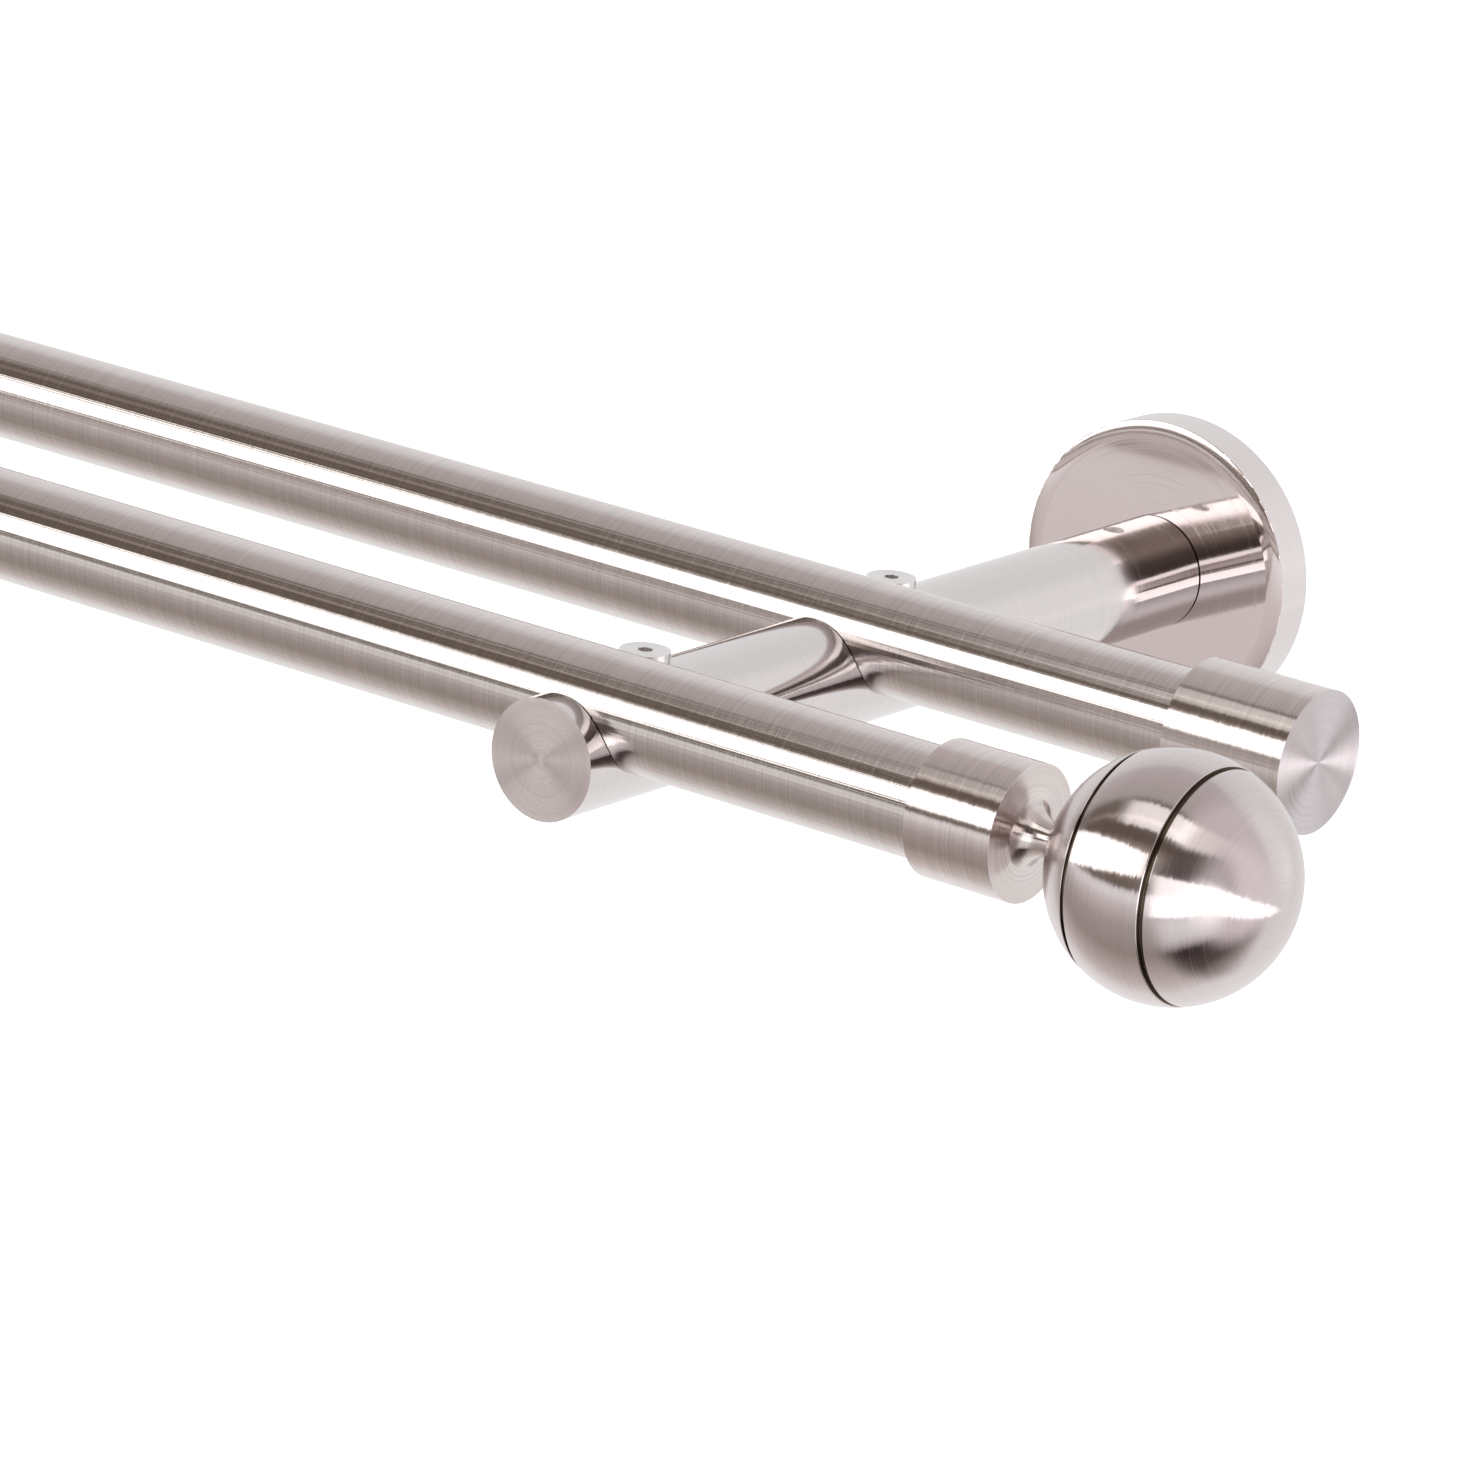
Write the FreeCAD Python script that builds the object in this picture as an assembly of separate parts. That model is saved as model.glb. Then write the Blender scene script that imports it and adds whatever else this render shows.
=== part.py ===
import FreeCAD, Part
import os
from math import cos, sin, sqrt, radians
from FreeCAD import Vector

# Double curtain pole: two parallel tubes carried by two wall brackets.
# Frame, in millimetres: the wall is the plane Y = 0 and the room is on its -Y side,
# X runs along the poles, Z is up. The origin is on the wall, midway between the
# brackets, at the height of the bracket arms.

# Poles
POLE_OD = 20.0            # outside diameter of both tubes
POLE_WALL = 1.0           # tube wall thickness
POLE_LENGTH = 1200.0      # cut length of both tubes
FRONT_REACH = 182.5       # wall to the axis of the front pole
POLE_PITCH = 73.0         # front pole axis to rear pole axis
POLE_OVERHANG = 88.0      # pole end beyond the bracket

# Bracket arm
ARM_OD = 22.0             # round bar
ARM_EDGE = 0.35           # broken edge at both bar ends
NOSE_WALL = 4.1           # bar left in front of the front saddle
SADDLE_PLAY = 0.2         # saddle radius over pole radius
SADDLE_FLOOR = 2.4        # saddle floor below the bar axis
ARM_GAP = 0.3             # shadow gap between bar and rosette

# Rosette, the round cover on the wall
ROSETTE_OD = 59.0
ROSETTE_DEPTH = 9.0       # wall to its front face
ROSETTE_FACE = 2.0        # thickness of the front face
ROSETTE_RIM = 2.0         # thickness of the rim
ROSETTE_BEVEL_W = 2.3     # width of the shallow bevel round the face
ROSETTE_BEVEL_H = 0.6     # depth of that bevel

# Wall plate, hidden in the rosette
PLATE_PLAY = 1.5          # plate edge to the inside of the rim
PLATE_T = 4.0
WALL_HOLE_D = 5.0         # clearance hole for a wall screw
WALL_HOLE_INSET = 8.0     # hole centre from the plate edge
WALL_HOLE_SINK_D = 9.6    # countersink at the room side
COVER_PLAY = 0.4          # on the diameter, rosette over its spigot

# Spigot riveted to the wall plate; the bar is pushed over it
SPIGOT_D = 12.0
SPIGOT_REACH = 24.0       # length inside the bar
SPIGOT_SHOULDER_D = 16.0
SPIGOT_TAIL_D = 8.0
SPIGOT_NECK_CUT = 0.5     # depth of the locking groove
SPIGOT_NECK_W = 6.0       # width of the locking groove
SPIGOT_PLAY = 0.2         # on the diameter, bar bore over spigot
BORE_END_PLAY = 1.0       # bore depth beyond the spigot end

# Set screws, cup end, hexagon socket
SET_D = 4.0
SET_HEX = 2.0             # across flats
SET_HEX_DEPTH = 1.5
THREAD_PLAY = 0.1         # on the diameter, hole over screw
ARM_SET_FROM_FACE = 15.0  # hole centre from the rosette face
ARM_SET_LENGTH = 4.0

# Clamp screws behind the poles
CLAMP_D = 4.0
CLAMP_WEB = 1.0           # bar left between saddle and screw
CLAMP_HEAD_D = 9.2
CLAMP_HEAD_H = 2.0
CLAMP_HEAD_EDGE = 0.3
CLAMP_HEX = 2.5
CLAMP_HEX_DEPTH = 1.3
CLAMP_REST = 0.02         # head rim just clear of the pole
CLAMP_LENGTH = 13.0       # below the head
CLAMP_HOLE_PLAY = 1.0     # hole depth beyond the screw tip

# Finial: collar, stud and ball
SOCKET_PLAY = 0.2         # on the diameter, socket over pole
COLLAR_WALL = 2.0
COLLAR_LENGTH = 17.5
COLLAR_GRIP = 12.8        # pole length inside the collar
COVE_LENGTH = 5.3         # from the collar face to the neck
RIM_LAND = 0.5            # flat land round the cove
NECK_D = 6.0
NECK_LENGTH = 2.3         # straight neck between cove and ball
BALL_D = 43.0
GROOVES_FROM_CENTRE = (-8.7, 7.1)
GROOVE_W = 0.9
GROOVE_DEPTH = 0.9
STUD_D = 4.0
STUD_IN_COLLAR = 4.5
STUD_IN_BALL = 8.0

# Plain cap on the rear pole
CAP_WALL = 2.9
CAP_LENGTH = 24.5
CAP_GRIP = 9.9            # pole length inside the cap
CAP_EDGE = 0.3
END_SET_INSET = 6.0       # set screw from the open end of collar or cap
END_SET_SUNK = 0.1        # outer end of that screw below the surface
SOCKET_FLOOR_PLAY = 0.2   # pole end or stud end to the floor of its hole

# Values worked out from the above
POLE_R = POLE_OD / 2
POLE_RISE = POLE_R - SADDLE_FLOOR            # pole axes above the bar axis
POLE_END_X = POLE_LENGTH / 2
BRACKET_X = POLE_END_X - POLE_OVERHANG
FRONT_Y = -FRONT_REACH
REAR_Y = FRONT_Y + POLE_PITCH
ARM_R = ARM_OD / 2
SADDLE_R = POLE_R + SADDLE_PLAY
SADDLE_Z = POLE_RISE + SADDLE_PLAY           # the pole rests on the saddle floor
FACE_Y = -ROSETTE_DEPTH
ARM_BACK_Y = FACE_Y - ARM_GAP
ARM_FRONT_Y = FRONT_Y - SADDLE_R - NOSE_WALL
SPIGOT_TIP_Y = ARM_BACK_Y - SPIGOT_REACH
ARM_SET_Y = FACE_Y - ARM_SET_FROM_FACE
PLATE_R = ROSETTE_OD / 2 - ROSETTE_RIM - PLATE_PLAY
CLAMP_OFFSET = SADDLE_R + CLAMP_WEB + CLAMP_D / 2    # screw axis behind the pole axis
SOCKET_R = (POLE_OD + SOCKET_PLAY) / 2
COLLAR_R = SOCKET_R + COLLAR_WALL
COLLAR_X = POLE_END_X - COLLAR_GRIP
CAP_R = SOCKET_R + CAP_WALL
CAP_X = POLE_END_X - CAP_GRIP
BALL_R = BALL_D / 2
BALL_FLAT = sqrt(BALL_R ** 2 - (NECK_D / 2) ** 2)    # ball centre to its seat on the neck
JOINT_X = COLLAR_X + COLLAR_LENGTH + COVE_LENGTH + NECK_LENGTH
BALL_X = JOINT_X + BALL_FLAT

X = Vector(1, 0, 0)
Y = Vector(0, 1, 0)
Z = Vector(0, 0, 1)


def rod(radius, start, end):
    """Cylinder between two points."""
    axis = end - start
    return Part.makeCylinder(radius, axis.Length, start, axis)


def ring(outer, inner, start, end):
    """Tube between two points."""
    over = (end - start).normalize()
    return rod(outer, start, end).cut(rod(inner, start - over, end + over))


def hexagon(flats, depth, top, axis):
    """Hexagonal prism sunk from a point against its axis."""
    axis = Vector(axis).normalize()
    side = axis.cross(X) if abs(axis.dot(X)) < 0.9 else axis.cross(Y)
    side.normalize()
    across = axis.cross(side)
    radius = flats / sqrt(3)
    points = [top + side * (radius * cos(radians(60 * i))) + across * (radius * sin(radians(60 * i)))
              for i in range(6)]
    face = Part.Face(Part.makePolygon(points + [points[0]]))
    return face.extrude(axis * -depth)


def placed(solid, at, axis_x):
    """Mirror a solid drawn about the origin when asked, then move it to its place."""
    if axis_x < 0:
        solid = solid.mirror(Vector(0, 0, 0), X)
    solid.translate(at)
    return solid


def pole(y):
    a = Vector(-POLE_LENGTH / 2, y, POLE_RISE)
    b = Vector(POLE_LENGTH / 2, y, POLE_RISE)
    return ring(POLE_R, POLE_R - POLE_WALL, a, b)


def wall_plate(x):
    plate = ring(PLATE_R, SPIGOT_TAIL_D / 2, Vector(x, 0, 0), Vector(x, -PLATE_T, 0))
    sink_h = (WALL_HOLE_SINK_D - WALL_HOLE_D) / 2
    for z in (PLATE_R - WALL_HOLE_INSET, WALL_HOLE_INSET - PLATE_R):
        plate = plate.cut(rod(WALL_HOLE_D / 2, Vector(x, 1, z), Vector(x, -PLATE_T - 1, z)))
        plate = plate.cut(Part.makeCone(WALL_HOLE_D / 2, WALL_HOLE_SINK_D / 2, sink_h,
                                        Vector(x, sink_h - PLATE_T, z), Vector(0, -1, 0)))
    return plate


def wall_spigot(x):
    y0, y1 = -PLATE_T, -ROSETTE_DEPTH + ROSETTE_FACE
    body = rod(SPIGOT_TAIL_D / 2, Vector(x, 0, 0), Vector(x, y0, 0))
    body = body.fuse(rod(SPIGOT_SHOULDER_D / 2, Vector(x, y0, 0), Vector(x, y1, 0)))
    shank = rod(SPIGOT_D / 2, Vector(x, y1, 0), Vector(x, SPIGOT_TIP_Y, 0))
    groove = ring(SPIGOT_D, SPIGOT_D / 2 - SPIGOT_NECK_CUT,
                  Vector(x, ARM_SET_Y + SPIGOT_NECK_W / 2, 0),
                  Vector(x, ARM_SET_Y - SPIGOT_NECK_W / 2, 0))
    return body.fuse(shank.cut(groove)).removeSplitter()


def rosette(x):
    r, y_front = ROSETTE_OD / 2, FACE_Y
    y_in = y_front + ROSETTE_FACE
    hole = (SPIGOT_D + COVER_PLAY) / 2
    points = [(0, r), (y_front + ROSETTE_BEVEL_H, r), (y_front, r - ROSETTE_BEVEL_W),
              (y_front, hole), (y_in, hole), (y_in, r - ROSETTE_RIM), (0, r - ROSETTE_RIM)]
    wire = Part.makePolygon([Vector(0, y, rr) for y, rr in points + [points[0]]])
    cup = Part.Face(wire).revolve(Vector(0, 0, 0), Y, 360)
    cup.translate(Vector(x, 0, 0))
    return cup


def arm(x):
    bar = rod(ARM_R, Vector(x, ARM_BACK_Y, 0), Vector(x, ARM_FRONT_Y, 0))
    ends = [e for e in bar.Edges if len(e.Vertexes) == 1]
    bar = bar.makeChamfer(ARM_EDGE, ends)
    for y in (FRONT_Y, REAR_Y):
        bar = bar.cut(rod(SADDLE_R, Vector(x - ARM_OD, y, SADDLE_Z), Vector(x + ARM_OD, y, SADDLE_Z)))
        tip = clamp_seat_z() - CLAMP_LENGTH - CLAMP_HOLE_PLAY
        bar = bar.cut(rod((CLAMP_D + THREAD_PLAY) / 2, Vector(x, y + CLAMP_OFFSET, tip),
                          Vector(x, y + CLAMP_OFFSET, ARM_OD)))
    bore = (SPIGOT_D + SPIGOT_PLAY) / 2
    bar = bar.cut(rod(bore, Vector(x, 0, 0), Vector(x, SPIGOT_TIP_Y - BORE_END_PLAY, 0)))
    return bar.cut(rod((SET_D + THREAD_PLAY) / 2, Vector(x, ARM_SET_Y, 0),
                       Vector(x, ARM_SET_Y, ARM_OD)))


def set_screw(bottom, axis, length):
    """Socket set screw standing on a point, its socket facing along the axis."""
    axis = Vector(axis)
    top = bottom + axis * length
    body = rod(SET_D / 2, bottom, top)
    return body.cut(hexagon(SET_HEX, min(SET_HEX_DEPTH, length / 2), top, axis))


def arm_set_screw(x):
    z = SPIGOT_D / 2 - SPIGOT_NECK_CUT
    return set_screw(Vector(x, ARM_SET_Y, z), Z, ARM_SET_LENGTH)


def clamp_seat_z():
    """Underside of a clamp head whose rim just clears the back of the pole."""
    reach = CLAMP_OFFSET - CLAMP_HEAD_D / 2
    return POLE_RISE + sqrt((POLE_R + CLAMP_REST) ** 2 - reach ** 2)


def clamp_screw(x, pole_y):
    y, seat = pole_y + CLAMP_OFFSET, clamp_seat_z()
    top = seat + CLAMP_HEAD_H
    head = rod(CLAMP_HEAD_D / 2, Vector(x, y, seat), Vector(x, y, top))
    rim = [e for e in head.Edges if len(e.Vertexes) == 1 and abs(e.CenterOfMass.z - top) < 0.01]
    head = head.makeChamfer(CLAMP_HEAD_EDGE, rim)
    shank = rod(CLAMP_D / 2, Vector(x, y, seat), Vector(x, y, seat - CLAMP_LENGTH))
    screw = head.fuse(shank).removeSplitter()
    return screw.cut(hexagon(CLAMP_HEX, CLAMP_HEX_DEPTH, Vector(x, y, top), Z))


def end_set_screw(open_x, outer_r, pole_y, side):
    """Set screw on the wall side of a collar or cap, standing on the pole."""
    foot = Vector(side * (open_x + END_SET_INSET), pole_y + POLE_R, POLE_RISE)
    return set_screw(foot, Y, outer_r - POLE_R - END_SET_SUNK)


def end_set_hole(outer_r):
    """Hole for that screw, drawn in the local frame of collar or cap."""
    r = (SET_D + THREAD_PLAY) / 2
    return rod(r, Vector(END_SET_INSET, 0, 0), Vector(END_SET_INSET, 2 * outer_r, 0))


def finial_collar(side):
    r, floor, face = COLLAR_R, COLLAR_GRIP + SOCKET_FLOOR_PLAY, COLLAR_LENGTH
    neck, land = NECK_D / 2, COLLAR_R - RIM_LAND
    x_neck = face + COVE_LENGTH
    x_end = x_neck + NECK_LENGTH
    # the cove is an arc tangent to the neck that passes through the rim land
    rise = land - neck
    cove = (COVE_LENGTH ** 2 + rise ** 2) / (2 * rise)
    low = Vector(x_neck - cove, 0, neck + cove)
    tap, tap_x = (STUD_D + THREAD_PLAY) / 2, x_end - STUD_IN_COLLAR
    pts = [Vector(x_neck, 0, neck), Vector(x_end, 0, neck), Vector(x_end, 0, tap),
           Vector(tap_x, 0, tap), Vector(tap_x, 0, 0), Vector(floor, 0, 0),
           Vector(floor, 0, SOCKET_R), Vector(0, 0, SOCKET_R), Vector(0, 0, r),
           Vector(face, 0, r), Vector(face, 0, land)]
    edges = [Part.makeLine(pts[i], pts[i + 1]) for i in range(len(pts) - 1)]
    edges.append(Part.Arc(Vector(face, 0, land), low, Vector(x_neck, 0, neck)).toShape())
    solid = Part.Face(Part.Wire(edges)).revolve(Vector(0, 0, 0), X, 360)
    solid = solid.cut(end_set_hole(r))
    return placed(solid, Vector(side * COLLAR_X, FRONT_Y, POLE_RISE), side)


def finial_ball(side):
    r = BALL_R
    ball = Part.makeSphere(r, Vector(0, 0, 0), X)
    ball = ball.cut(Part.makeBox(r, 2 * r, 2 * r, Vector(-BALL_FLAT - r, -r, -r)))
    for gx in GROOVES_FROM_CENTRE:
        at = sqrt(r ** 2 - gx ** 2)
        ball = ball.cut(ring(2 * r, at - GROOVE_DEPTH, Vector(gx - GROOVE_W / 2, 0, 0),
                             Vector(gx + GROOVE_W / 2, 0, 0)))
    floor = STUD_IN_BALL + SOCKET_FLOOR_PLAY - BALL_FLAT
    ball = ball.cut(rod((STUD_D + THREAD_PLAY) / 2, Vector(-r, 0, 0), Vector(floor, 0, 0)))
    return placed(ball, Vector(side * BALL_X, FRONT_Y, POLE_RISE), side)


def finial_stud(side):
    start = Vector(SOCKET_FLOOR_PLAY - STUD_IN_COLLAR, 0, 0)
    stud = rod(STUD_D / 2, start, Vector(STUD_IN_BALL, 0, 0))
    return placed(stud, Vector(side * JOINT_X, FRONT_Y, POLE_RISE), side)


def end_cap(side):
    r, floor = CAP_R, CAP_GRIP + SOCKET_FLOOR_PLAY
    points = [(0, SOCKET_R), (0, r), (CAP_LENGTH - CAP_EDGE, r), (CAP_LENGTH, r - CAP_EDGE),
              (CAP_LENGTH, 0), (floor, 0), (floor, SOCKET_R)]
    wire = Part.makePolygon([Vector(x, 0, z) for x, z in points + [points[0]]])
    cap = Part.Face(wire).revolve(Vector(0, 0, 0), X, 360).cut(end_set_hole(r))
    return placed(cap, Vector(side * CAP_X, REAR_Y, POLE_RISE), side)


def parts():
    made = {"front_pole": pole(FRONT_Y), "rear_pole": pole(REAR_Y)}
    for name, side in (("right", 1), ("left", -1)):
        x = side * BRACKET_X
        made["wall_plate_" + name] = wall_plate(x)
        made["wall_spigot_" + name] = wall_spigot(x)
        made["rosette_" + name] = rosette(x)
        made["arm_" + name] = arm(x)
        made["arm_set_screw_" + name] = arm_set_screw(x)
        made["front_clamp_screw_" + name] = clamp_screw(x, FRONT_Y)
        made["rear_clamp_screw_" + name] = clamp_screw(x, REAR_Y)
        made["finial_collar_" + name] = finial_collar(side)
        made["finial_ball_" + name] = finial_ball(side)
        made["finial_stud_" + name] = finial_stud(side)
        made["finial_set_screw_" + name] = end_set_screw(COLLAR_X, COLLAR_R, FRONT_Y, side)
        made["end_cap_" + name] = end_cap(side)
        made["cap_set_screw_" + name] = end_set_screw(CAP_X, CAP_R, REAR_Y, side)
    return made


os.makedirs("parts", exist_ok=True)
for node, shape in parts().items():
    shape.exportStep("parts/" + node + ".step")
    print(node, "valid", shape.isValid(), "solids", len(shape.Solids), "volume", round(shape.Volume, 1))
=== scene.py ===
import bpy
from math import asin, cos, pi, radians, sin, sqrt
from mathutils import Matrix, Vector


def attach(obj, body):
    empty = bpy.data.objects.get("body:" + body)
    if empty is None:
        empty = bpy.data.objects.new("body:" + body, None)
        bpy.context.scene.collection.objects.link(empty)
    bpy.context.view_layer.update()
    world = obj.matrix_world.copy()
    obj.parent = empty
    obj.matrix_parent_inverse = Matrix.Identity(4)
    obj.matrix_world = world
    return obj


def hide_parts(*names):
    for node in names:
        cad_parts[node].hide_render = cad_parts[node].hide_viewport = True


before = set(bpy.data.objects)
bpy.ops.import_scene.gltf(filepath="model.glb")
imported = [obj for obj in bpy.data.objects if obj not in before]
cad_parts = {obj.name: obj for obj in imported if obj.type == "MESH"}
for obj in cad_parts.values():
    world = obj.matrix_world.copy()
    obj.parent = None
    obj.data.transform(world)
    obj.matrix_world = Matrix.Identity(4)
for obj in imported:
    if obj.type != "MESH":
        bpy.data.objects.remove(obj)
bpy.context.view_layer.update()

# Places shared by the pieces, in metres. The wall is the plane y = 0 and z runs up.
FRONT_Y, REAR_Y, POLE_Z = -0.1825, -0.1095, 0.0076
POLE_END = 0.6000
BRACKET_X = 0.5120
BRACKETS = (("right", BRACKET_X), ("left", -BRACKET_X))
TO_LEFT = (-2 * BRACKET_X, 0, 0)
ENDS = (("right", 1), ("left", -1))


# Camera
# Stands in the room to the right of the bracket, looking down and left along the poles.
# Lens and place come from fitting the pole, cap and ball outlines of the photograph.
camera_data = bpy.data.cameras.new("camera")
camera_data.sensor_fit = "HORIZONTAL"
camera_data.sensor_width = 36.0
camera_data.lens = 173.471
camera_data.clip_end = 100.0
camera = bpy.data.objects.new("camera", camera_data)
camera.location = (1.228573, -1.122041, 0.369463)
camera.rotation_euler = (1.269278, -0.075939, 0.653861)
bpy.context.collection.objects.link(camera)
bpy.context.scene.camera = camera
bpy.context.scene.view_settings.view_transform = "Standard"


# Studio
# A white tent and floor with dark flags between soft boxes: a long one in front on the
# left, one in front on the right, one overhead and a narrow strip that runs away past the
# ends of the poles. The steel mirrors them all.
BEND_LEVEL, BEND_FROM, BEND = -15, 0.42, -1.5
RIGHT_FROM, RIGHT_TO = 0.18, 0.44
FAR_FROM, FAR_TO = 0.68, 0.90
PLAIN_LIGHT = (0.85, 0.85, 0.85, 1)
WHITE = (1, 1, 1, 1)


def wire(tree, output, socket):
    """Link an output of one node to an input of another."""
    tree.links.new(output, socket)


def node(tree, kind, **settings):
    """A new node of a kind, with its settings."""
    made = tree.nodes.new(kind)
    for key, value in settings.items():
        setattr(made, key, value)
    return made


def operate(tree, kind, operation, terms):
    """A node that works out an operation on sockets, plain numbers or plain vectors."""
    made = node(tree, kind, operation=operation)
    for i, term in enumerate(terms):
        if isinstance(term, (int, float, tuple)):
            made.inputs[i].default_value = term
        else:
            wire(tree, term, made.inputs[i])
    return made.outputs[0]


def maths(tree, operation, *terms):
    """The result of a Math node."""
    return operate(tree, "ShaderNodeMath", operation, terms)


def vectors(tree, operation, *terms):
    """The result of a Vector Math node."""
    return operate(tree, "ShaderNodeVectorMath", operation, terms)


def smooth_step(tree, value, low, high):
    """A smooth rise from 0 to 1 while a value goes from low to high."""
    made = node(tree, "ShaderNodeMapRange", interpolation_type="SMOOTHSTEP")
    wire(tree, value, made.inputs["Value"])
    made.inputs["From Min"].default_value = low
    made.inputs["From Max"].default_value = high
    return made.outputs[0]


def blend(tree, factor, first, second):
    """Mix two colours; the factor goes from the first, 0, to the second, 1."""
    made = node(tree, "ShaderNodeMix", data_type="RGBA")
    wire(tree, factor, made.inputs["Factor"])
    for socket, colour in ((made.inputs[6], first), (made.inputs[7], second)):
        if isinstance(colour, tuple):
            socket.default_value = colour
        else:
            wire(tree, colour, socket)
    return made.outputs[2]


def looked_at(tree):
    """1 for what the lens sees, straight or in the steel, and 0 for light that falls on things."""
    seen = node(tree, "ShaderNodeLightPath").outputs
    mirrored = maths(tree, "ADD", seen["Is Glossy Ray"], seen["Is Transmission Ray"])
    return maths(tree, "ADD", seen["Is Camera Ray"], mirrored)


def turn_of(degrees):
    """An angle round the poles as a share of a turn: 0 degrees is level with the room, 90
    straight up, -90 straight down, and 180 or -180 the wall."""
    return (degrees + 180.0) / 360.0


def tones(tree, turn, stops):
    """Tones of the tent round the poles, by stops of (degrees, grey) or (degrees, (r, g, b))."""
    made = node(tree, "ShaderNodeValToRGB")
    wire(tree, turn, made.inputs["Fac"])
    elements = made.color_ramp.elements
    for i, (degrees, tone) in enumerate(stops):
        element = elements[i] if i < 2 else elements.new(turn_of(degrees))
        element.position = turn_of(degrees)
        tone = tone if isinstance(tone, tuple) else (tone, tone, tone)
        element.color = (*tone, 1.0)
    return made.outputs["Color"]


world = bpy.data.worlds.new("studio")
bpy.context.scene.world = world
world.use_nodes = True
tent = world.node_tree
tent.nodes.clear()
split = node(tent, "ShaderNodeSeparateXYZ")
wire(tent, node(tent, "ShaderNodeTexCoord").outputs["Generated"], split.inputs[0])
rightward, wallward, upward = split.outputs
turn = maths(tent, "ARCTAN2", upward, maths(tent, "MULTIPLY", wallward, -1.0))
turn = maths(tent, "MULTIPLY_ADD", turn, 1.0 / (2.0 * pi), 0.5)
left_side = tones(tent, turn, [
    (-180, 0.90), (-130, 1.02), (-110, 0.98), (-92, (0.74, 0.68, 0.65)), (-58, (0.40, 0.35, 0.32)),
    (-32, (0.50, 0.45, 0.43)), (-16, (0.74, 0.69, 0.68)), (-8, 0.95), (-2, 0.98),
    (1, (0.16, 0.125, 0.10)), (36, (0.34, 0.285, 0.24)), (43, (0.15, 0.115, 0.09)),
    (58, (0.15, 0.115, 0.09)), (61, (0.58, 0.50, 0.44)), (64, (0.14, 0.105, 0.08)),
    (78, (0.16, 0.125, 0.10)), (83, (0.51, 0.47, 0.45)), (122, (0.64, 0.59, 0.59)),
    (127, 0.78), (146, 0.90), (180, 0.90)])
# to the right the flags round off towards the end of the poles
past = maths(tent, "MAXIMUM", maths(tent, "SUBTRACT", rightward, BEND_FROM), 0.0)
bent = maths(tent, "MULTIPLY_ADD", maths(tent, "MULTIPLY", past, past), BEND, 1.0)
level = turn_of(BEND_LEVEL)
bent_turn = maths(tent, "MULTIPLY_ADD", maths(tent, "SUBTRACT", turn, level), bent, level)
right_side = tones(tent, bent_turn, [
    (-180, 1.10), (-165, 0.98), (-128, 0.93), (-108, (0.42, 0.37, 0.35)), (-88, (0.12, 0.095, 0.085)),
    (-60, (0.03, 0.02, 0.02)), (-54, (0.52, 0.47, 0.49)), (-46, 0.85), (-28, 1.0), (-14, 0.5),
    (5, (0.08, 0.06, 0.05)), (20, (0.07, 0.05, 0.045)), (28, (0.09, 0.07, 0.06)),
    (38, (0.13, 0.10, 0.085)), (43, (0.12, 0.09, 0.075)), (49, (0.15, 0.115, 0.10)),
    (54, (1.0, 0.95, 0.93)), (78, (0.95, 0.90, 0.88)), (84, (0.76, 0.70, 0.71)),
    (124, (0.79, 0.73, 0.74)), (140, 0.96), (165, 1.0), (180, 1.10)])
# far out to the right the tent closes round the flags
right_end = tones(tent, turn, [
    (-180, (0.96, 0.89, 0.90)), (-140, (0.98, 0.91, 0.93)), (-80, (0.82, 0.74, 0.76)), (-56, 1.1),
    (-40, 1.5), (20, 1.5), (36, (0.72, 0.67, 0.67)), (70, (0.62, 0.57, 0.57)),
    (110, (0.94, 0.88, 0.90)), (180, (0.96, 0.89, 0.90))])
flags = blend(tent, smooth_step(tent, rightward, RIGHT_FROM, RIGHT_TO), left_side, right_side)
flags = blend(tent, smooth_step(tent, rightward, FAR_FROM, FAR_TO), flags, right_end)
# the lens sees the tent white, the steel sees its flags, and the rest gets plain light from it
lens = node(tent, "ShaderNodeLightPath").outputs["Is Camera Ray"]
backdrop = node(tent, "ShaderNodeBackground")
wire(tent, blend(tent, lens, flags, WHITE), backdrop.inputs["Color"])
plain = node(tent, "ShaderNodeBackground")
plain.inputs["Color"].default_value = PLAIN_LIGHT
pick = node(tent, "ShaderNodeMixShader")
wire(tent, looked_at(tent), pick.inputs[0])
wire(tent, plain.outputs[0], pick.inputs[1])
wire(tent, backdrop.outputs[0], pick.inputs[2])
wire(tent, pick.outputs[0], node(tent, "ShaderNodeOutputWorld").inputs["Surface"])


def beside(x, away, degrees):
    """Point beside the front pole, at an angle round it: 0 towards the room, 90 straight up."""
    angle = radians(degrees)
    return Vector((x, FRONT_Y - away * cos(angle), POLE_Z + away * sin(angle)))


def soft_box(name, start, end, width, radiance):
    """Area lamp from one point to another. It faces the end of the front pole, shows the
    given radiance, and the lens does not see it."""
    data = bpy.data.lights.new(name, "AREA")
    data.shape = "RECTANGLE"
    data.size = (end - start).length
    data.size_y = width
    data.energy = radiance * pi * data.size * data.size_y
    lamp = bpy.data.objects.new(name, data)
    middle = (start + end) / 2
    along = (end - start).normalized()
    out = middle - beside(POLE_END, 0, 0)
    back = (out - along * out.dot(along)).normalized()
    facing = Matrix((along, back.cross(along), back)).transposed()
    lamp.matrix_world = Matrix.LocRotScale(middle, facing, None)
    lamp.visible_camera = False
    bpy.context.collection.objects.link(lamp)


soft_box("box_left", beside(0.90, 3.2, 23), beside(-3.2, 0.85, 23), width=1.12, radiance=1.8)
soft_box("box_right", beside(0.78, 0.52, -1), beside(1.80, 0.40, -1), width=0.36, radiance=1.5)
soft_box("box_top", beside(-0.75, 2.2, 65), beside(1.7, 2.2, 65), width=0.9, radiance=1.05)
soft_box("box_end", beside(1.01, 0.114, -12), beside(1.99, 1.62, -157), width=0.125, radiance=1.0)

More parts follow.
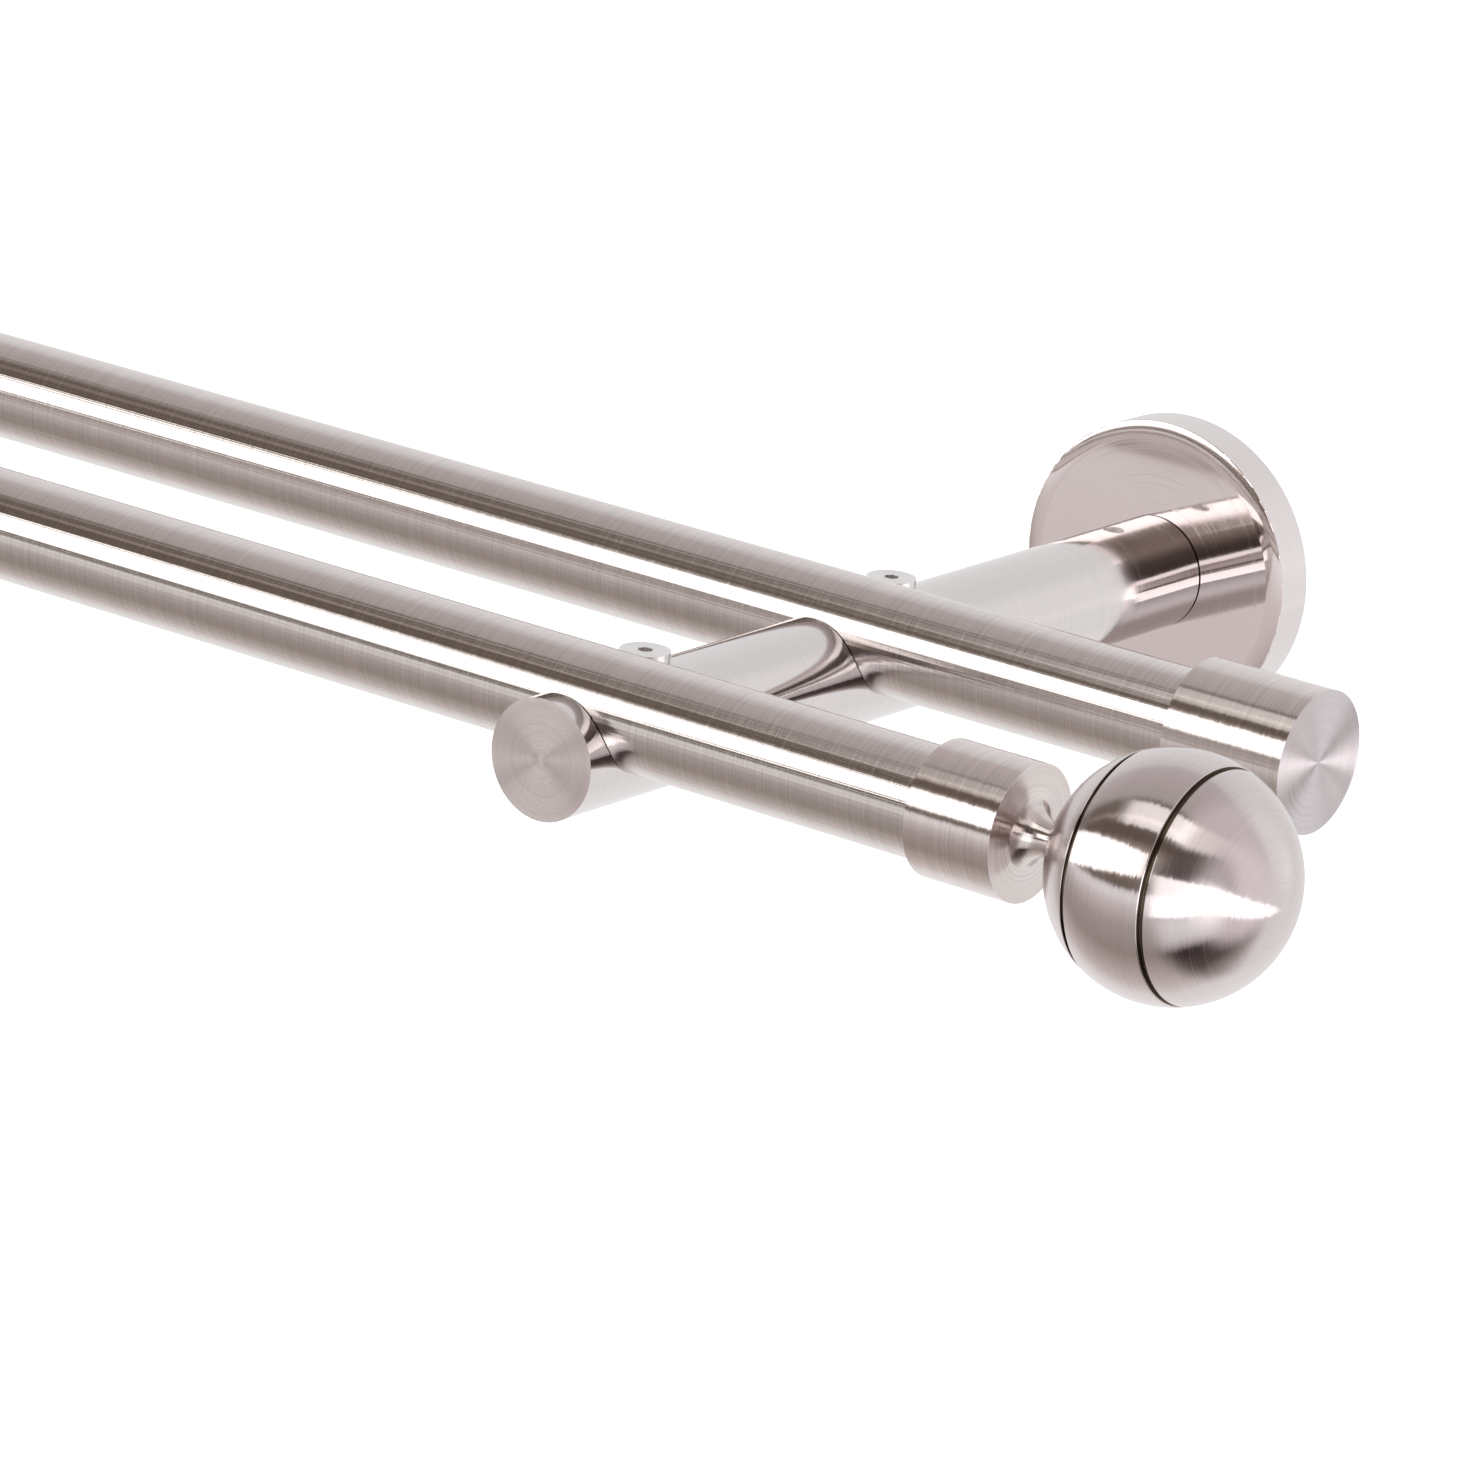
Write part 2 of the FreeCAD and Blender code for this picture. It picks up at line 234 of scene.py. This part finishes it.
# The floor lies well below the brackets, white as the tent, and keeps their soft shadow.
FLOOR_Z, FLOOR_WIDE, FLOOR_GLOW = -0.7, 60.0, 0.50
bpy.ops.object.select_all(action="DESELECT")
bpy.ops.mesh.primitive_plane_add(size=FLOOR_WIDE, location=(0, 0, FLOOR_Z))
floor = bpy.context.object
floor.name = "floor"
floor.visible_glossy = False
floor_paint = bpy.data.materials.new("floor_paint")
floor_paint.use_nodes = True
paint = floor_paint.node_tree.nodes["Principled BSDF"].inputs
paint["Base Color"].default_value = (0.90, 0.90, 0.90, 1)
paint["Roughness"].default_value = 0.9
paint["Specular IOR Level"].default_value = 0.0
paint["Emission Color"].default_value = WHITE
glow = maths(floor_paint.node_tree, "MULTIPLY", looked_at(floor_paint.node_tree), FLOOR_GLOW)
wire(floor_paint.node_tree, glow, paint["Emission Strength"])
floor.data.materials.append(floor_paint)


# Poles
# Two straight tubes of thin steel, 20 mm across and 1200 mm long, drawn lengthwise and
# then brushed round with a belt, so fine marks cross the long reflections.
POLE_R, POLE_BORE = 0.0100, 0.0090
POLE_STEEL = (0.66, 0.608, 0.592)
MARK_DEEP, DRAWN_DEEP = 0.00002, 0.00003
NOISE_MEAN = 0.5


def turned(name, outline, centre, axis, steps=256):
    """Turn a closed outline of (along, radius) points round an axis through centre."""
    along = Vector(axis)
    out = Vector((0, 0, 1)) if abs(along.z) < 0.5 else Vector((1, 0, 0))
    places = [Vector(centre) + along * a + out * r for a, r in outline]
    bpy.ops.object.select_all(action="DESELECT")
    bpy.ops.mesh.primitive_plane_add(size=0.0001, location=places[0])
    piece = bpy.context.object
    piece.name = piece.data.name = name
    bpy.ops.object.mode_set(mode="EDIT")
    bpy.ops.mesh.merge(type="CENTER")
    for here, there in zip(places, places[1:]):
        bpy.ops.mesh.extrude_region_move(TRANSFORM_OT_translate={"value": there - here})
    bpy.ops.mesh.select_all(action="SELECT")
    bpy.ops.mesh.spin(steps=steps, angle=2 * pi, center=centre, axis=axis)
    bpy.ops.mesh.select_all(action="SELECT")
    bpy.ops.mesh.remove_doubles(threshold=2e-6)
    bpy.ops.mesh.normals_make_consistent(inside=False)
    bpy.ops.object.mode_set(mode="OBJECT")
    bpy.ops.object.transform_apply(location=True)
    return piece


def finish_edges(piece, width, segments=2, angle=30.0):
    """Shade the faces smooth between the sharp edges, then break those edges."""
    bpy.ops.object.select_all(action="DESELECT")
    piece.select_set(True)
    bpy.context.view_layer.objects.active = piece
    bpy.ops.object.shade_smooth_by_angle(angle=radians(angle))
    if width:
        bevel = piece.modifiers.new("edge", "BEVEL")
        bevel.width = width
        bevel.segments = segments
        bevel.limit_method = "ANGLE"
        bevel.angle_limit = radians(angle)
        bevel.harden_normals = True
        bpy.ops.object.modifier_apply(modifier="edge")


def brushed_marks():
    """Fine marks round the Z axis of a piece, which are rings on its flat faces. One line
    is rougher than the next and leans a little the other way round; Drawn runs lengthwise."""
    group = bpy.data.node_groups.new("brushed_marks", "ShaderNodeTree")
    face = group.interface
    for name in ("Vector", "Round"):
        face.new_socket(name, in_out="INPUT", socket_type="NodeSocketVector")
    for name, value in (("Fineness", 3000.0), ("Run", 30.0), ("Depth", 0.15), ("Tone", 0.42),
                        ("Roughness", 0.15), ("Roughness Spread", 0.05), ("Waver", 0.08), ("Drawn", 0.0)):
        face.new_socket(name, in_out="INPUT", socket_type="NodeSocketFloat").default_value = value
    face.new_socket("Color", in_out="INPUT", socket_type="NodeSocketColor")
    face.new_socket("Color", in_out="OUTPUT", socket_type="NodeSocketColor")
    face.new_socket("Roughness", in_out="OUTPUT", socket_type="NodeSocketFloat")
    face.new_socket("Normal", in_out="OUTPUT", socket_type="NodeSocketVector")
    start = node(group, "NodeGroupInput").outputs
    end = node(group, "NodeGroupOutput").inputs
    split = node(group, "ShaderNodeSeparateXYZ")
    wire(group, start["Vector"], split.inputs[0])
    x, y, z = split.outputs
    squares = maths(group, "ADD", maths(group, "MULTIPLY", x, x), maths(group, "MULTIPLY", y, y))
    radius = maths(group, "SQRT", squares)

    def lines(across, along, away, detail, rough):
        """Noise stretched by its own amount round, along and away from the axis."""
        spot = node(group, "ShaderNodeCombineXYZ")
        for i, (part, stretch) in enumerate(((x, across), (y, across), (z, along))):
            wire(group, maths(group, "MULTIPLY", part, stretch), spot.inputs[i])
        noise = node(group, "ShaderNodeTexNoise", noise_dimensions="4D")
        wire(group, spot.outputs[0], noise.inputs["Vector"])
        wire(group, maths(group, "MULTIPLY", radius, away), noise.inputs["W"])
        noise.inputs["Scale"].default_value = 1.0
        noise.inputs["Detail"].default_value = detail
        noise.inputs["Roughness"].default_value = rough
        return noise.outputs["Fac"]

    def bump(height, strength, distance, under):
        """Grooves of a depth in metres, on top of the normal that is there."""
        made = node(group, "ShaderNodeBump")
        made.inputs["Distance"].default_value = distance
        wire(group, strength, made.inputs["Strength"])
        wire(group, height, made.inputs["Height"])
        wire(group, under, made.inputs["Normal"])
        return made.outputs[0]

    # fine lines, and broad ones at half their strength, make the steel a little lighter or darker
    broad_share = 0.5
    fine = lines(start["Run"], start["Fineness"], start["Fineness"], detail=3.0, rough=0.65)
    coarse = maths(group, "MULTIPLY", start["Fineness"], 0.65)
    broad = lines(maths(group, "MULTIPLY", start["Run"], 0.7), coarse, coarse, detail=2.0, rough=0.5)
    both = maths(group, "MULTIPLY_ADD", broad, broad_share, fine)
    both = maths(group, "SUBTRACT", both, NOISE_MEAN * (1 + broad_share))
    shade = maths(group, "MULTIPLY_ADD", both, start["Tone"], 1.0)
    colour = node(group, "ShaderNodeMix", data_type="RGBA", blend_type="MULTIPLY")
    colour.inputs["Factor"].default_value = 1.0
    wire(group, start["Color"], colour.inputs[6])
    wire(group, shade, colour.inputs[7])
    wire(group, colour.outputs[2], end["Color"])
    # the strongest of the fine lines are also the roughest
    scratched = smooth_step(group, fine, low=0.50, high=0.72)
    rough = maths(group, "MULTIPLY_ADD", scratched, start["Roughness Spread"], start["Roughness"])
    wire(group, rough, end["Roughness"])
    # short dense lines lean round the axis, which smears what the steel mirrors
    short = maths(group, "MULTIPLY", start["Run"], 4.0)
    dense = maths(group, "MULTIPLY", start["Fineness"], 2.0)
    wobble = maths(group, "SUBTRACT", lines(short, dense, dense, detail=2.0, rough=0.7), NOISE_MEAN)
    lean = maths(group, "MULTIPLY", wobble, start["Waver"])
    leaning = vectors(group, "MULTIPLY", vectors(group, "NORMALIZE", start["Round"]), lean)
    normal = node(group, "ShaderNodeNewGeometry").outputs["Normal"]
    leant = vectors(group, "NORMALIZE", vectors(group, "ADD", normal, leaning))
    # the lines of drawing run along the axis, under the fine ones
    drawn = lines(across=1400.0, along=1.5, away=0.0, detail=2.0, rough=0.5)
    lengthwise = bump(drawn, start["Drawn"], DRAWN_DEEP, leant)
    wire(group, bump(fine, start["Depth"], MARK_DEEP, lengthwise), end["Normal"])
    return group


MARKS = brushed_marks()


def turned_steel(name, centre, axis, colour, roughness, spread=1.0, **marks):
    """Satin steel brushed round an axis through centre; reflections smear across the marks."""
    steel = bpy.data.materials.new(name)
    steel.use_nodes = True
    tree = steel.node_tree
    surface = tree.nodes["Principled BSDF"].inputs
    surface["Metallic"].default_value = 1.0
    surface["Anisotropic"].default_value = spread
    surface["Anisotropic Rotation"].default_value = 0.25
    here = node(tree, "ShaderNodeTexCoord").outputs["Object"]
    away = vectors(tree, "SUBTRACT", here, centre)
    round_way = vectors(tree, "CROSS_PRODUCT", axis, away)
    wire(tree, round_way, surface["Tangent"])
    lay = node(tree, "ShaderNodeMapping")
    wire(tree, away, lay.inputs["Vector"])
    lay.inputs["Rotation"].default_value = (radians(90) * axis[1], radians(-90) * axis[0], 0)
    finish = node(tree, "ShaderNodeGroup")
    finish.node_tree = MARKS
    wire(tree, lay.outputs[0], finish.inputs["Vector"])
    wire(tree, round_way, finish.inputs["Round"])
    finish.inputs["Color"].default_value = (*colour, 1.0)
    finish.inputs["Roughness"].default_value = roughness
    for key, value in marks.items():
        finish.inputs[key.replace("_", " ")].default_value = value
    wire(tree, finish.outputs["Color"], surface["Base Color"])
    wire(tree, finish.outputs["Roughness"], surface["Roughness"])
    wire(tree, finish.outputs["Normal"], surface["Normal"])
    return steel


def clad(piece, material, slot, *nodes):
    """Give a new piece its steel and put it in the place of the CAD nodes."""
    piece.data.materials.clear()
    piece.data.materials.append(material)
    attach(piece, "root")
    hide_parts(*nodes)


for name, y in (("front", FRONT_Y), ("rear", REAR_Y)):
    centre = (0, y, POLE_Z)
    tube = turned(name + "_tube", [(-POLE_END, POLE_R), (POLE_END, POLE_R), (POLE_END, POLE_BORE),
                                   (-POLE_END, POLE_BORE), (-POLE_END, POLE_R)], centre, (1, 0, 0))
    finish_edges(tube, width=0.0)
    steel = turned_steel(name + "_pole_steel", centre, (1, 0, 0), POLE_STEEL, roughness=0.16,
                         spread=0.7, Drawn=1.6, Waver=0.05)
    clad(tube, steel, "pole_steel", name + "_pole")


# Bracket arms
# Round bar, 22 mm across, with two saddles milled across its top for the poles, a bore
# for the wall spigot and tapped holes for the locking and clamp screws.
ARM_R, ARM_BACK, ARM_FRONT = 0.0110, -0.0093, -0.1968
ARM_BORE, ARM_BORE_END = 0.0061, -0.0343
SADDLE_R, SADDLE_Z = 0.0102, 0.0078
LOCK_Y = -0.024
CLAMP_BACK, CLAMP_HOLE_END = 0.0132, -0.00126
TAP_R = 0.00205
OUTSIDE = 0.02
HAIR, CLOSE = 0.0001, 0.00001
ARM_EDGE = 0.00018
ARM_STEEL, ARM_FACE_STEEL = (0.70, 0.655, 0.655), (0.73, 0.665, 0.66)
TAPPED_STEEL = (0.92, 0.87, 0.85)


def cut_away(piece, tool):
    """Boolean difference, applied; the cutting tool is then thrown away."""
    bpy.ops.object.select_all(action="DESELECT")
    piece.select_set(True)
    bpy.context.view_layer.objects.active = piece
    cut = piece.modifiers.new("cut", "BOOLEAN")
    cut.operation = "DIFFERENCE"
    cut.solver = "EXACT"
    cut.object = tool
    bpy.ops.object.modifier_apply(modifier="cut")
    bpy.data.objects.remove(tool)


def drill(piece, centre, axis, radius, start, end, steps=64):
    """Bore a round hole or mill a round saddle along an axis through centre."""
    outline = [(start, 0), (start, radius), (end, radius), (end, 0)]
    cut_away(piece, turned("cutter", outline, centre, axis, steps))


def copy_piece(piece, name, shift=None):
    """A copy with its own mesh: moved along, or turned half round to the other pole end."""
    bpy.ops.object.select_all(action="DESELECT")
    piece.select_set(True)
    bpy.context.view_layer.objects.active = piece
    bpy.ops.object.duplicate()
    twin = bpy.context.object
    twin.name = twin.data.name = name
    bpy.ops.object.mode_set(mode="EDIT")
    bpy.ops.mesh.select_all(action="SELECT")
    if shift:
        bpy.ops.transform.translate(value=shift)
    else:
        bpy.ops.transform.rotate(value=pi, orient_axis="Y", center_override=(0, 0, POLE_Z))
    bpy.ops.object.mode_set(mode="OBJECT")
    return twin


def faced(piece, name, centre, axis, at, colour, roughness):
    """Give the flat end of a piece the coarser rings that facing it on the lathe leaves."""
    positive = tuple(abs(a) for a in axis)
    rings = turned_steel(name, centre, positive, colour, roughness, Fineness=1000.0, Run=14.0,
                         Depth=0.30, Tone=0.36, Roughness_Spread=0.10, Waver=0.03)
    piece.data.materials.append(rings)
    for face in piece.data.polygons:
        if face.center.dot(Vector(axis)) > at - CLOSE:
            face.material_index = len(piece.data.materials) - 1


bar = turned("bar_right", [(ARM_FRONT, 0), (ARM_FRONT, ARM_R), (ARM_BACK, ARM_R), (ARM_BACK, ARM_BORE),
                           (ARM_BORE_END, ARM_BORE), (ARM_BORE_END, 0)], (BRACKET_X, 0, 0), (0, 1, 0))
for y in (FRONT_Y, REAR_Y):
    drill(bar, (BRACKET_X, y, SADDLE_Z), (1, 0, 0), SADDLE_R, -OUTSIDE, OUTSIDE, steps=256)
    drill(bar, (BRACKET_X, y + CLAMP_BACK, 0), (0, 0, 1), TAP_R, CLAMP_HOLE_END, OUTSIDE)
drill(bar, (BRACKET_X, LOCK_Y, 0), (0, 0, 1), TAP_R, 0.0, OUTSIDE)
finish_edges(bar, ARM_EDGE)
for hand, x in BRACKETS:
    piece = bar if hand == "right" else copy_piece(bar, "bar_left", TO_LEFT)
    steel = turned_steel("arm_steel_" + hand, (x, 0, 0), (0, 1, 0), ARM_STEEL, roughness=0.06,
                         Depth=0.06, Tone=0.16, Waver=0.03)
    clad(piece, steel, "arm_steel", "arm_" + hand)
    faced(piece, "arm_face_steel_" + hand, (x, 0, 0), (0, -1, 0), -ARM_FRONT, ARM_FACE_STEEL,
          roughness=0.27)
    # the wall of the tapped hole over the locking screw
    tapped = turned_steel("tapped_steel_" + hand, (x, LOCK_Y, 0), (0, 0, 1), TAPPED_STEEL, roughness=0.6,
                          spread=0.4, Fineness=1400.0, Run=60.0, Depth=0.4)
    piece.data.materials.append(tapped)
    for face in piece.data.polygons:
        away = sqrt((face.center.x - x) ** 2 + (face.center.y - LOCK_Y) ** 2)
        if away < TAP_R + HAIR / 2 and ARM_BORE + HAIR < face.center.z < ARM_R - HAIR:
            face.material_index = len(piece.data.materials) - 1


# Rosettes
# Round covers pressed from sheet steel that hide the wall plates. The face is turned and
# polished so far that it mirrors the arm, and its border rolls off a little.
ROSETTE_R, ROSETTE_INNER_R, SPIGOT_HOLE_R = 0.0295, 0.0275, 0.0062
ROSETTE_FACE, ROSETTE_INNER_FACE = -0.0090, -0.0070
FLAT_R, ROLL, ROLL_DEGREES = 0.0260, 0.0113, 18
RIM_FROM = -0.0084
ROSETTE_EDGE = 0.00015
TILT = (0, 0, 0.026)
ROLL_STEEL, RIM_STEEL, FACE_STEEL = (0.78, 0.705, 0.70), (0.75, 0.70, 0.70), (0.76, 0.69, 0.685)


def roll_point(degrees):
    """Point where the border of the face has rolled off by an angle."""
    angle = radians(degrees)
    return ROSETTE_FACE + ROLL * (1 - cos(angle)), FLAT_R + ROLL * sin(angle)


shoulder = [roll_point(degrees) for degrees in range(ROLL_DEGREES, 0, -1)]
cover = turned("cover_right", [(0, ROSETTE_R), (shoulder[0][0], ROSETTE_R)] + shoulder +
               [(ROSETTE_FACE, FLAT_R), (ROSETTE_FACE, SPIGOT_HOLE_R), (ROSETTE_INNER_FACE, SPIGOT_HOLE_R),
                (ROSETTE_INNER_FACE, ROSETTE_INNER_R), (0, ROSETTE_INNER_R), (0, ROSETTE_R)],
               (BRACKET_X, 0, 0), (0, 1, 0))
finish_edges(cover, ROSETTE_EDGE)
for hand, x in BRACKETS:
    piece = cover if hand == "right" else copy_piece(cover, "cover_left", TO_LEFT)
    roll = turned_steel("rosette_roll_" + hand, (x, 0, 0), (0, 1, 0), ROLL_STEEL, roughness=0.05,
                        Tone=0.02, Fineness=9000.0, Run=2.0, Depth=0.0, Waver=0.005,
                        Roughness_Spread=0.36)
    clad(piece, roll, "rosette_steel", "rosette_" + hand)
    # the rim is only brushed
    rim = turned_steel("rosette_rim_" + hand, (x, 0, 0), (0, 1, 0), RIM_STEEL, roughness=0.13,
                       Tone=0.12)
    # the face's shading normal leans a hair off square, so that the bar's image bends in it
    face = turned_steel("rosette_face_" + hand, (x, 0, 0), (0, 1, 0), FACE_STEEL, roughness=0.045,
                        Tone=0.05, Fineness=2400.0, Run=8.0, Depth=0.0, Waver=0.004,
                        Roughness_Spread=0.10)
    mirror = face.node_tree.nodes["Principled BSDF"].inputs["Normal"]
    tilted = vectors(face.node_tree, "ADD", mirror.links[0].from_socket, TILT)
    wire(face.node_tree, vectors(face.node_tree, "NORMALIZE", tilted), mirror)
    for material in (rim, face):
        piece.data.materials.append(material)
    for flat in piece.data.polygons:
        if abs(flat.normal.y) < 0.5 and flat.center.y > RIM_FROM:
            flat.material_index = 1
        elif flat.normal.y < -0.9999:
            flat.material_index = 2


# Clamp screws
# Flat-headed socket screws behind the poles; the rim of the head holds the pole down in
# its saddle. Bright turned steel.
SEAT_Z, HEAD_HIGH, HEAD_R = 0.012742, 0.0020, 0.0046
SCREW_LONG, SCREW_R = 0.013, 0.0020
KEY_FLOOR, KEY_R = 0.0007, 0.0014434
SCREW_EDGE = 0.00020
SCREW_STEEL = (0.74, 0.71, 0.71)
screw_line = [(SEAT_Z - SCREW_LONG, 0), (SEAT_Z - SCREW_LONG, SCREW_R), (SEAT_Z, SCREW_R),
              (SEAT_Z, HEAD_R), (SEAT_Z + HEAD_HIGH, HEAD_R), (SEAT_Z + HEAD_HIGH, 0)]
for row, y in (("front", FRONT_Y), ("rear", REAR_Y)):
    at = (BRACKET_X, y + CLAMP_BACK, 0)
    screw = turned(row + "_screw_right", screw_line, at, (0, 0, 1), steps=96)
    drill(screw, at, (0, 0, 1), KEY_R, SEAT_Z + KEY_FLOOR, OUTSIDE, steps=6)
    finish_edges(screw, SCREW_EDGE, angle=40.0)
    for hand, x in BRACKETS:
        piece = screw if hand == "right" else copy_piece(screw, row + "_screw_left", TO_LEFT)
        steel = turned_steel(row + "_screw_steel_" + hand, (x, y + CLAMP_BACK, 0), (0, 0, 1),
                             SCREW_STEEL, roughness=0.14)
        clad(piece, steel, "screw_steel", row + "_clamp_screw_" + hand)


# Finials
# A collar that slips over the end of the front pole, hollowed to a thin neck, and a
# turned ball with two fine grooves, screwed together by a hidden stud.
COLLAR_X, COLLAR_R, COLLAR_SOCKET, SOCKET_R = 0.5872, 0.0121, 0.0130, 0.0101
LAND_AT, LAND_R, NECK_AT, NECK_END, NECK_R = 0.0175, 0.0116, 0.0228, 0.0251, 0.0030
NECK_HOLE, SET_SCREW_IN, INSIDE = 0.0045, 0.006, 0.002
COVE_STEPS = 24
LATHE_EDGE = 0.00022
COLLAR_STEEL = (0.68, 0.615, 0.597)
cove_high, cove_long = LAND_R - NECK_R, NECK_AT - LAND_AT
cove_r = (cove_long * cove_long + cove_high * cove_high) / (2 * cove_high)
sweep = asin(cove_long / cove_r)


def cove_point(share):
    """Point on the cove, an arc from the collar's face, 0, to its foot on the neck, 1."""
    angle = sweep * (1 - share)
    return NECK_AT - cove_r * sin(angle), NECK_R + cove_r - cove_r * cos(angle)


cove_line = [cove_point(i / COVE_STEPS) for i in range(COVE_STEPS + 1)]
collar = turned("collar_right", [(0, SOCKET_R), (0, COLLAR_R), (LAND_AT, COLLAR_R)] + cove_line +
                [(NECK_END, NECK_R), (NECK_END, TAP_R), (NECK_END - NECK_HOLE, TAP_R),
                 (NECK_END - NECK_HOLE, 0), (COLLAR_SOCKET, 0), (COLLAR_SOCKET, SOCKET_R), (0, SOCKET_R)],
                (COLLAR_X, FRONT_Y, POLE_Z), (1, 0, 0))
drill(collar, (COLLAR_X + SET_SCREW_IN, FRONT_Y, POLE_Z), (0, 1, 0), TAP_R, INSIDE, OUTSIDE)
finish_edges(collar, LATHE_EDGE, segments=3)

BALL_X, BALL_R, BALL_HOLE, BALL_STEPS = 0.633590, 0.0215, 0.0082, 120
GROOVES, GROOVE_HALF, GROOVE_DEEP = (-0.0087, 0.0071), 0.00045, 0.0009
BALL_EDGE = 0.00018
# the groove colour is near-black brown: painted shade in the recesses
BALL_STEEL, GROOVE_PAINTED_SHADE = (0.665, 0.60, 0.597), (0.17, 0.135, 0.10)
seat = -sqrt(BALL_R ** 2 - NECK_R ** 2)
ball_line = [(BALL_HOLE + seat, 0), (BALL_HOLE + seat, TAP_R), (seat, TAP_R)]
stations = [seat + (BALL_R - seat) * (1 - cos(pi * i / BALL_STEPS)) / 2 for i in range(BALL_STEPS + 1)]
for groove in GROOVES:
    clear = [s for s in stations if abs(s - groove) > GROOVE_HALF + HAIR]
    stations = clear + [groove - GROOVE_HALF, groove + GROOVE_HALF]
for s in sorted(stations):
    ball_line.append((s, sqrt(max(BALL_R ** 2 - s * s, 0.0))))
    for groove in GROOVES:
        floor_r = sqrt(BALL_R ** 2 - groove ** 2) - GROOVE_DEEP
        if s == groove - GROOVE_HALF:
            ball_line += [(s, floor_r), (groove + GROOVE_HALF, floor_r)]
ball = turned("ball_right", ball_line, (BALL_X, FRONT_Y, POLE_Z), (1, 0, 0), steps=288)
finish_edges(ball, BALL_EDGE, angle=35.0)


def in_groove(face, side):
    """Whether a face of a ball is a wall or the floor of one of its grooves, which get the painted shade.
    """
    away = sqrt((face.center.y - FRONT_Y) ** 2 + (face.center.z - POLE_Z) ** 2)
    along = face.center.x * side - BALL_X
    return any(abs(along - groove) < GROOVE_HALF + CLOSE
               and away < sqrt(BALL_R ** 2 - groove ** 2) - BALL_EDGE for groove in GROOVES)


for hand, side in ENDS:
    piece = collar if hand == "right" else copy_piece(collar, "collar_left")
    steel = turned_steel("collar_steel_" + hand, (side * COLLAR_X, FRONT_Y, POLE_Z), (1, 0, 0),
                         COLLAR_STEEL, roughness=0.16, spread=0.8)
    clad(piece, steel, "finial_steel", "finial_collar_" + hand)
    piece = ball if hand == "right" else copy_piece(ball, "ball_left")
    centre = (side * BALL_X, FRONT_Y, POLE_Z)
    steel = turned_steel("ball_steel_" + hand, centre, (1, 0, 0), BALL_STEEL, roughness=0.15,
                         spread=0.9, Tone=0.15, Fineness=3200.0)
    clad(piece, steel, "finial_steel", "finial_ball_" + hand)
    # groove walls and floor: a dark colour that is painted shade in the recess, on a rougher finish
    rough_and_shaded = turned_steel("groove_painted_shade_" + hand, centre, (1, 0, 0), GROOVE_PAINTED_SHADE, roughness=0.32)
    piece.data.materials.append(rough_and_shaded)
    for face in piece.data.polygons:
        if in_groove(face, side):
            face.material_index = 1


# End caps
# Plain turned caps over the ends of the rear pole, faced flat, with fine rings on the
# face from the lathe.
CAP_X, CAP_R, CAP_LONG, CAP_SOCKET = 0.5901, 0.0130, 0.0245, 0.0101
CAP_STEEL, CAP_FACE_STEEL = (0.69, 0.635, 0.615), (0.68, 0.625, 0.635)
cap = turned("cap_right", [(0, SOCKET_R), (0, CAP_R), (CAP_LONG, CAP_R), (CAP_LONG, 0), (CAP_SOCKET, 0),
                           (CAP_SOCKET, SOCKET_R), (0, SOCKET_R)], (CAP_X, REAR_Y, POLE_Z), (1, 0, 0))
drill(cap, (CAP_X + SET_SCREW_IN, REAR_Y, POLE_Z), (0, 1, 0), TAP_R, INSIDE, OUTSIDE)
finish_edges(cap, LATHE_EDGE, segments=3)
for hand, side in ENDS:
    piece = cap if hand == "right" else copy_piece(cap, "cap_left")
    centre = (side * CAP_X, REAR_Y, POLE_Z)
    steel = turned_steel("cap_steel_" + hand, centre, (1, 0, 0), CAP_STEEL, roughness=0.16, spread=0.8)
    clad(piece, steel, "cap_steel", "end_cap_" + hand)
    faced(piece, "cap_face_steel_" + hand, centre, (side, 0, 0), CAP_X + CAP_LONG, CAP_FACE_STEEL,
          roughness=0.36)


# Hidden fixings
# Wall plates with their riveted spigots, dull zinc plated, and the small set screws and
# studs, which keep their CAD shape.
ZINC, BRIGHT_SCREW, DARK_SCREW = (0.50, 0.52, 0.54), (0.80, 0.78, 0.77), (0.42, 0.41, 0.40)


def repaint(node_name, material):
    """Give a CAD node a new material in the place of its own."""
    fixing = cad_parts[node_name]
    fixing.data.materials.clear()
    fixing.data.materials.append(material)


for hand, side in ENDS:
    x = side * BRACKET_X
    plate_zinc = turned_steel("zinc_plate_" + hand, (x, 0, 0), (0, 1, 0), ZINC, roughness=0.38,
                              spread=0.3, Tone=0.2, Run=260.0, Fineness=500.0, Depth=0.1)
    repaint("wall_plate_" + hand, plate_zinc)
    repaint("wall_spigot_" + hand, plate_zinc)
    collar_hole = side * (COLLAR_X + SET_SCREW_IN)
    cap_hole = side * (CAP_X + SET_SCREW_IN)
    for part, centre, axis, colour in (
            ("arm_set_screw_", (x, LOCK_Y, 0), (0, 0, 1), BRIGHT_SCREW),
            ("finial_set_screw_", (collar_hole, FRONT_Y, POLE_Z), (0, 1, 0), DARK_SCREW),
            ("cap_set_screw_", (cap_hole, REAR_Y, POLE_Z), (0, 1, 0), DARK_SCREW),
            ("finial_stud_", (0, FRONT_Y, POLE_Z), (1, 0, 0), DARK_SCREW)):
        screw_steel = turned_steel(part + "steel_" + hand, centre, axis, colour, roughness=0.30)
        repaint(part + hand, screw_steel)
